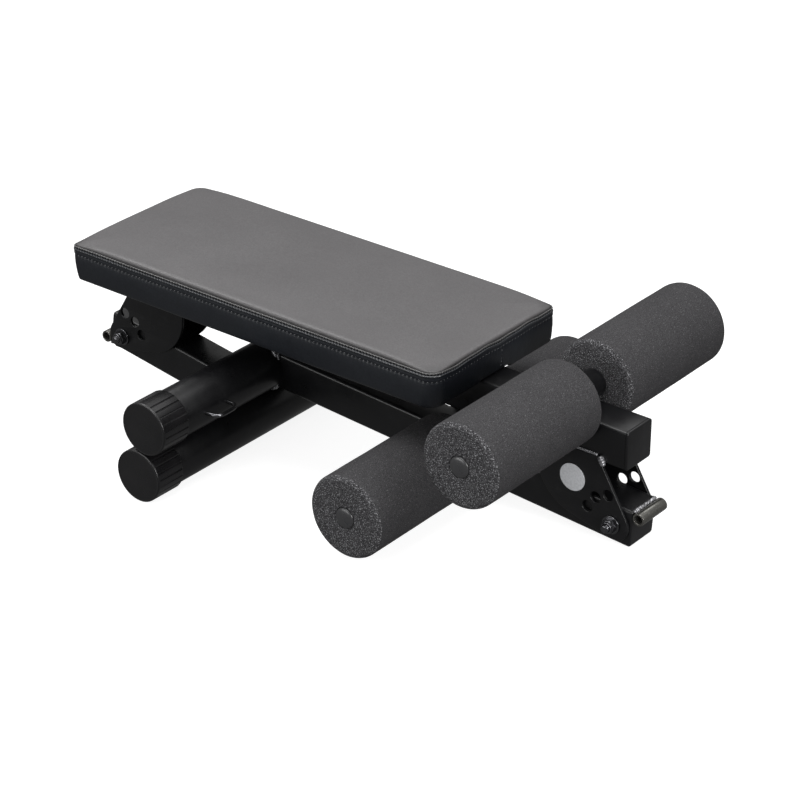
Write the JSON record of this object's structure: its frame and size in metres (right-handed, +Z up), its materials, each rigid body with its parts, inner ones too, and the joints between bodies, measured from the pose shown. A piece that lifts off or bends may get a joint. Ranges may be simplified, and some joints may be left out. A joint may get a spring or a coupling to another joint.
{
  "type": "decline sit up bench",
  "caption": "Folding decline sit up bench lying folded, with a flat padded board on a square beam, hinged legs with capped cross tubes, and foam ankle rollers.",
  "frame": {"origin": "middle of the folded bench's footprint, at the floor", "axes": "+X along the bench towards the roller end, +Y across it, +Z up"},
  "size_m": [1.0302, 0.5896, 0.3086],
  "materials": {
    "black_powder_coat": "satin powder coat",
    "dark_zinc": "dark bright zinc",
    "black_plastic": "moulded, slightly glossy",
    "foam": "matt closed-cell foam",
    "upholstery": "grained leatherette",
    "board": "stained plywood",
    "badge": "blank printed disc"
  },
  "bodies": {
    "frame": {"beam_tube": "black_powder_coat", "beam_plug_head_end": "black_plastic", "beam_plug_roller_end": "black_powder_coat", "front_bracket_near": "black_powder_coat", "front_bracket_far": "black_powder_coat", "rear_bracket_near": "black_powder_coat", "rear_bracket_far": "black_powder_coat", "front_pivot_bolt": "dark_zinc", "front_pivot_nut": "dark_zinc", "front_pivot_washer_near": "dark_zinc", "front_pivot_washer_far": "dark_zinc", "rear_pivot_bolt": "dark_zinc", "rear_pivot_nut": "dark_zinc", "rear_pivot_washer_near": "dark_zinc", "rear_pivot_washer_far": "dark_zinc", "blank_badge": "badge", "upper_axle_saddle": "black_powder_coat", "upper_axle": "black_powder_coat", "upper_hub_plug_near": "black_plastic", "upper_hub_plug_far": "black_plastic", "pad_cushion": "upholstery", "pad_board": "board", "pad_bar_1": "black_powder_coat", "pad_bar_2": "black_powder_coat", "pad_bolt_1": "dark_zinc", "pad_bolt_2": "dark_zinc", "pad_bolt_3": "dark_zinc", "pad_bolt_4": "dark_zinc"},
    "front_leg": {"front_leg_tube": "black_powder_coat", "front_heel_plate": "black_powder_coat", "front_lock_sleeve": "dark_zinc", "front_pivot_bush": "dark_zinc", "front_cross_tube": "black_powder_coat", "front_end_cap_near": "black_plastic", "front_end_cap_far": "black_plastic", "band_eyelet_near": "dark_zinc", "lower_collar_near": "black_plastic", "band_eyelet_far": "dark_zinc", "lower_collar_far": "black_plastic", "lower_axle": "black_powder_coat", "lower_hub_plug_near": "black_plastic", "lower_hub_plug_far": "black_plastic"},
    "rear_leg": {"rear_leg_tube": "black_powder_coat", "rear_heel_plate": "black_powder_coat", "rear_lock_sleeve": "dark_zinc", "rear_pivot_bush": "dark_zinc", "rear_cross_tube": "black_powder_coat", "rear_end_cap_near": "black_plastic", "rear_end_cap_far": "black_plastic"},
    "lower_roller_near": {"lower_roller_foam_near": "foam", "lower_roller_liner_near": "black_plastic"},
    "lower_roller_far": {"lower_roller_foam_far": "foam", "lower_roller_liner_far": "black_plastic"},
    "upper_roller_near": {"upper_roller_foam_near": "foam", "upper_roller_liner_near": "black_plastic"},
    "upper_roller_far": {"upper_roller_foam_far": "foam", "upper_roller_liner_far": "black_plastic"}
  },
  "joints": [
    {"name": "front_leg_hinge", "type": "hinge", "parent": "frame", "child": "front_leg", "pos_m": [0.46456, 0, 0.03324], "axis": [0, -1, 0], "range_deg": [0, 135]},
    {"name": "rear_leg_hinge", "type": "hinge", "parent": "frame", "child": "rear_leg", "pos_m": [-0.46334, 0, 0.10269], "axis": [0, 1, 0], "range_deg": [0, 180]},
    {"name": "upper_roller_near_spin", "type": "hinge", "parent": "frame", "child": "upper_roller_near", "pos_m": [0.39351, -0.155, 0.20663], "axis": [0, 1, 0], "continuous": true},
    {"name": "upper_roller_far_spin", "type": "hinge", "parent": "frame", "child": "upper_roller_far", "pos_m": [0.39351, 0.155, 0.20663], "axis": [0, 1, 0], "continuous": true},
    {"name": "lower_roller_near_spin", "type": "hinge", "parent": "front_leg", "child": "lower_roller_near", "pos_m": [0.18678, -0.155, 0.07218], "axis": [0, 1, 0], "continuous": true},
    {"name": "lower_roller_far_spin", "type": "hinge", "parent": "front_leg", "child": "lower_roller_far", "pos_m": [0.18678, 0.155, 0.07218], "axis": [0, 1, 0], "continuous": true}
  ]
}
